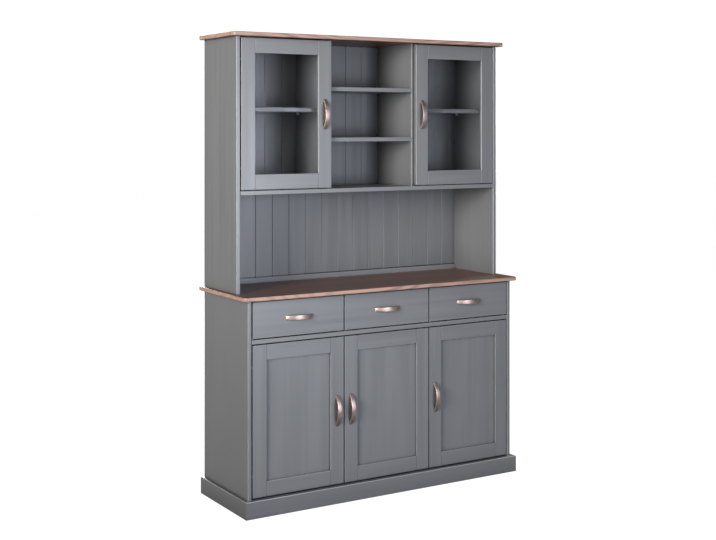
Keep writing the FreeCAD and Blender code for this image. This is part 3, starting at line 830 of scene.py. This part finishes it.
def bow_mesh(name, length, rise, width):
    """The bow as rings of points, its length along Z, its feet on y = 0, bowed to -Y."""
    points = []
    for ring in range(RINGS):
        share = 2 * ring / (RINGS - 1) - 1
        points.extend(bow_section(share, length / 2, rise, width))
    faces = []
    last = (RINGS - 1) * RING_POINTS
    for low in range(0, last, RING_POINTS):
        high = low + RING_POINTS
        for step in range(RING_POINTS):
            after = (step + 1) % RING_POINTS
            faces.append((low + step, high + step, high + after, low + after))
    faces.append(tuple(range(RING_POINTS)))
    faces.append(tuple(reversed(range(last, last + RING_POINTS))))
    mesh = bpy.data.meshes.new(name)
    mesh.from_pydata(points, [], faces)
    mesh.polygons.foreach_set("use_smooth", [len(face) == 4 for face in faces])
    mesh.update()
    return mesh


def rose_bronze():
    """Satin metal, paler in patches that hands have worn, finely brushed along the strap."""
    material, tree, shader = new_material("satin rose bronze")
    place = turned_place(tree, UPRIGHT)
    wear = noise(tree, place, WEAR)
    brushing = noise(tree, place, BRUSHING)
    worn = spread(tree, wear, WEAR_SPAN, 0.0, WEAR_SHARE)
    shade = spread(tree, brushing, BRUSHING_SPAN, 0.0, BRUSHING_SHARE)
    colour = mixed(tree, worn, ROSE_BRONZE, WORN_BRONZE)
    colour = mixed(tree, shade, colour, SHADED_BRONZE)
    tree.links.new(colour, shader.inputs["Base Color"])
    smooth, rough = BRONZE_ROUGHNESS
    sheen = spread(tree, wear, WEAR_SHEEN_SPAN, smooth, rough)
    tree.links.new(sheen, shader.inputs["Roughness"])
    shader.inputs["Metallic"].default_value = 1.0
    relief(tree, shader, brushing, BRUSHING_DEPTH)
    return material


handle_metal = rose_bronze()
for body in DRAWERS + BASE_DOORS + GLASS_DOORS:
    low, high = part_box(body + "_handle")
    size = high - low
    level = size.x > size.z
    length, width = (size.x, size.z) if level else (size.z, size.x)
    bow = bow_mesh(body + "_bow", length, size.y, width)
    handle = bpy.data.objects.new(body + "_bow_handle", bow)
    bpy.context.scene.collection.objects.link(handle)
    if level:
        handle.rotation_euler = ACROSS
    handle.location = ((low.x + high.x) / 2, high.y, (low.z + high.z) / 2)
    handle.data.materials.append(handle_metal)
    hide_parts(body + "_handle")
    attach(handle, body)

# The studio: a plain pale floor in a white surround. A warm softbox on the left and a
# cooler one in front light what the camera sees and fall off to the right and towards
# the floor. Two large ones stand behind and on the right, for the far sides.
WHITE = (1.0, 1.0, 1.0, 1.0)
FLOOR_SIZE = 60.0
FLOOR_COLOUR = (0.15, 0.15, 0.15, 1.0)
FLOOR_ROUGHNESS = 0.9
FLOOR_GLOW = 0.985
WARM_LIGHT = (1.0, 0.975, 0.94)
COOL_LIGHT = (0.82, 0.88, 1.0)
OPEN_BEAM = 180.0
SURROUND = 0.05
SEEN_WHITE = 1.05


def studio_floor():
    """A pale floor that looks white to the camera and still takes a soft shadow."""
    half = FLOOR_SIZE / 2
    corners = [(-half, -half, 0), (half, -half, 0), (half, half, 0), (-half, half, 0)]
    mesh = bpy.data.meshes.new("floor")
    mesh.from_pydata(corners, [], [(0, 1, 2, 3)])
    floor = bpy.data.objects.new("floor", mesh)
    bpy.context.scene.collection.objects.link(floor)
    material, tree, shader = new_material("pale floor")
    shader.inputs["Base Color"].default_value = FLOOR_COLOUR
    shader.inputs["Roughness"].default_value = FLOOR_ROUGHNESS
    shader.inputs["Emission Color"].default_value = WHITE
    sight = add_node(tree, "ShaderNodeLightPath")
    glow = calculate(tree, "MULTIPLY", sight.outputs["Is Camera Ray"], FLOOR_GLOW)
    tree.links.new(glow, shader.inputs["Emission Strength"])
    mesh.materials.append(material)


def softbox(name, place, target, size, power, colour, beam=OPEN_BEAM):
    """A rectangular light; a grid in front of it narrows its beam to the given angle."""
    data = bpy.data.lights.new(name, "AREA")
    data.spread = math.radians(beam)
    data.shape = "RECTANGLE"
    data.size, data.size_y = size
    data.energy = power
    data.color = colour
    light = bpy.data.objects.new(name, data)
    light.location = place
    to_x, to_y, to_z = [end - start for start, end in zip(place, target)]
    tilt = math.atan2(math.hypot(to_x, to_y), -to_z)
    light.rotation_euler = (tilt, 0.0, math.atan2(to_y, to_x) - QUARTER_TURN)
    bpy.context.scene.collection.objects.link(light)


def white_surround():
    """White where the camera looks past the cabinet, and dim for all other light."""
    world = bpy.data.worlds.new("surround")
    world.use_nodes = True
    tree = world.node_tree
    sight = add_node(tree, "ShaderNodeLightPath")
    strength = spread(tree, sight.outputs["Is Camera Ray"], (0.0, 1.0), SURROUND, SEEN_WHITE)
    background = tree.nodes["Background"]
    background.inputs["Color"].default_value = WHITE
    tree.links.new(strength, background.inputs["Strength"])
    bpy.context.scene.world = world


studio_floor()
softbox(
    "left softbox",
    place=(-6.0, -2.95, 2.3),
    target=(-0.7, 0.0, 1.85),
    size=(2.5, 2.4),
    power=65.0,
    colour=WARM_LIGHT,
    beam=56.0,
)
softbox(
    "front softbox",
    place=(0.52, -4.3, 1.27),
    target=(-0.85, 0.0, 0.85),
    size=(1.4, 1.4),
    power=35.5,
    colour=COOL_LIGHT,
    beam=100.0,
)
softbox(
    "back softbox",
    place=(1.3, 6.2, 2.6),
    target=(0.0, 0.3, 1.0),
    size=(3.0, 2.4),
    power=420.0,
    colour=COOL_LIGHT,
)
softbox(
    "right softbox",
    place=(6.4, 1.5, 2.6),
    target=(0.7, 0.4, 1.0),
    size=(2.4, 2.4),
    power=420.0,
    colour=WARM_LIGHT,
)
white_surround()

# The camera stands where the photograph was taken from: level, left of the cabinet,
# with the lens shifted down so that upright lines stay parallel.
CAMERA_PLACE = (-2.9258, -4.7326, 1.6007)
CAMERA_TURN = math.radians(-31.467)
SENSOR_WIDTH = 36.0
IMAGE_WIDTH = 716.0
IMAGE_HEIGHT = 540.0
FOCAL_PIXELS = 1231.67
HORIZON_ROW = 127.34
SIGHT_LIMIT = 100.0
camera_data = bpy.data.cameras.new("camera")
camera_data.sensor_width = SENSOR_WIDTH
camera_data.lens = FOCAL_PIXELS / IMAGE_WIDTH * SENSOR_WIDTH
camera_data.shift_y = (HORIZON_ROW - IMAGE_HEIGHT / 2) / IMAGE_WIDTH
camera_data.clip_end = SIGHT_LIMIT
camera = bpy.data.objects.new("camera", camera_data)
camera.location = CAMERA_PLACE
camera.rotation_euler = (QUARTER_TURN, 0.0, CAMERA_TURN)
bpy.context.scene.collection.objects.link(camera)
bpy.context.scene.camera = camera
bpy.context.scene.view_settings.view_transform = "Standard"
